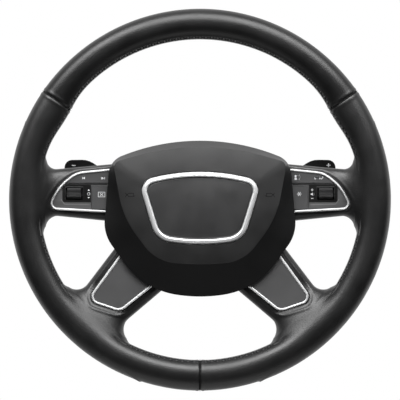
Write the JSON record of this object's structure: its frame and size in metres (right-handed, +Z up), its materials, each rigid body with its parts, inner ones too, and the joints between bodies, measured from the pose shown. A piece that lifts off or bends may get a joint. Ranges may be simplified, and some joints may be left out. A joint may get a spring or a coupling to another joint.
{
  "type": "car steering wheel",
  "caption": "Leather-covered four-spoke car steering wheel with airbag module, thumb switches, shift paddles and splined column hub.",
  "frame": {"origin": "centre of the column bore at its mouth, on the steel hub's back face", "axes": "+Z up with the wheel straight ahead, +X to the driver's right as seen from the seat, +Y along the column away from the driver"},
  "size_m": [0.375, 0.085, 0.375],
  "materials": {
    "cast": "as cast, fine grain",
    "hub_steel": "turned steel",
    "foam": "moulded foam skin",
    "leather": "fine grained, satin, cross-stitched",
    "cover_skin": "fine matt grain",
    "rear_skin": "matt grain",
    "bright": "satin bright plating",
    "satin_panel": "satin",
    "switch_plastic": "satin, soft touch",
    "roller_rubber": "ribbed",
    "zinc": "zinc plated",
    "bush": "natural moulding",
    "board": "board with lacquer",
    "cushion_cloth": "folded woven cloth"
  },
  "bodies": {
    "wheel": {"armature": "cast", "hub_insert": "hub_steel", "rim_foam": "foam", "leather_top": "leather", "leather_left": "leather", "leather_right": "leather", "rear_cover": "rear_skin", "rear_cover_screws": "zinc", "control_unit": "switch_plastic", "horn_bushes": "bush", "horn_springs": "zinc", "switch_housing_left": "switch_plastic", "switch_strip_left": "bright", "switch_board_left": "board", "spoke_trim_left": "bright", "spoke_insert_left": "satin_panel", "paddle_bracket_left": "zinc", "paddle_pin_left": "hub_steel", "paddle_spring_left": "zinc", "switch_housing_right": "switch_plastic", "switch_strip_right": "bright", "switch_board_right": "board", "spoke_trim_right": "bright", "spoke_insert_right": "satin_panel", "paddle_bracket_right": "zinc", "paddle_pin_right": "hub_steel", "paddle_spring_right": "zinc"},
    "airbag_module": {"airbag_cover": "cover_skin", "chrome_ring": "bright", "badge_field": "satin_panel", "airbag_can": "zinc", "airbag_cushion": "cushion_cloth", "inflator": "zinc", "inflator_nuts": "zinc", "horn_pins": "zinc"},
    "rocker_left": {"rocker_left": "switch_plastic"},
    "roller_slide_left": {"roller_carrier_left": "switch_plastic"},
    "roller_left": {"roller_left": "roller_rubber"},
    "mode_button_left": {"mode_button_left": "switch_plastic"},
    "paddle_left": {"paddle_left": "rear_skin"},
    "rocker_right": {"rocker_right": "switch_plastic"},
    "roller_slide_right": {"roller_carrier_right": "switch_plastic"},
    "roller_right": {"roller_right": "roller_rubber"},
    "mode_button_right": {"mode_button_right": "switch_plastic"},
    "paddle_right": {"paddle_right": "rear_skin"}
  },
  "joints": [
    {"name": "horn_press", "type": "slide", "parent": "wheel", "child": "airbag_module", "axis": [0, 1, 0], "range_m": [0, 0.0012], "stiffness_N_per_m": 6000, "springref_m": -0.002, "deforming": ["horn_springs"]},
    {"name": "rocker_tilt_left", "type": "hinge", "parent": "wheel", "child": "rocker_left", "pos_m": [-0.111, -0.056, 0.02], "axis": [0, 0, 1], "range_deg": [-1.6, 1.6], "stiffness_Nm_per_rad": 0.5},
    {"name": "roller_press_left", "type": "slide", "parent": "wheel", "child": "roller_slide_left", "axis": [0, 1, 0], "range_m": [0, 0.0008], "stiffness_N_per_m": 1500, "springref_m": -0.001},
    {"name": "roller_spin_left", "type": "hinge", "parent": "roller_slide_left", "child": "roller_left", "pos_m": [-0.1237, -0.056, 0.0057], "axis": [1, 0, 0], "continuous": true},
    {"name": "mode_press_left", "type": "slide", "parent": "wheel", "child": "mode_button_left", "axis": [0, 1, 0], "range_m": [0, 0.001], "stiffness_N_per_m": 1500, "springref_m": -0.001},
    {"name": "paddle_pull_left", "type": "hinge", "parent": "wheel", "child": "paddle_left", "pos_m": [-0.077, -0.0235, 0.011], "axis": [0, 0, 1], "range_deg": [0, 4], "stiffness_Nm_per_rad": 2, "springref_deg": -2.86, "deforming": ["paddle_spring_left"]},
    {"name": "rocker_tilt_right", "type": "hinge", "parent": "wheel", "child": "rocker_right", "pos_m": [0.111, -0.056, 0.02], "axis": [0, 0, 1], "range_deg": [-1.6, 1.6], "stiffness_Nm_per_rad": 0.5},
    {"name": "roller_press_right", "type": "slide", "parent": "wheel", "child": "roller_slide_right", "axis": [0, 1, 0], "range_m": [0, 0.0008], "stiffness_N_per_m": 1500, "springref_m": -0.001},
    {"name": "roller_spin_right", "type": "hinge", "parent": "roller_slide_right", "child": "roller_right", "pos_m": [0.1237, -0.056, 0.0057], "axis": [1, 0, 0], "continuous": true},
    {"name": "mode_press_right", "type": "slide", "parent": "wheel", "child": "mode_button_right", "axis": [0, 1, 0], "range_m": [0, 0.001], "stiffness_N_per_m": 1500, "springref_m": -0.001},
    {"name": "paddle_pull_right", "type": "hinge", "parent": "wheel", "child": "paddle_right", "pos_m": [0.077, -0.0235, 0.011], "axis": [0, 0, -1], "range_deg": [0, 4], "stiffness_Nm_per_rad": 2, "springref_deg": -2.86, "deforming": ["paddle_spring_right"]}
  ]
}
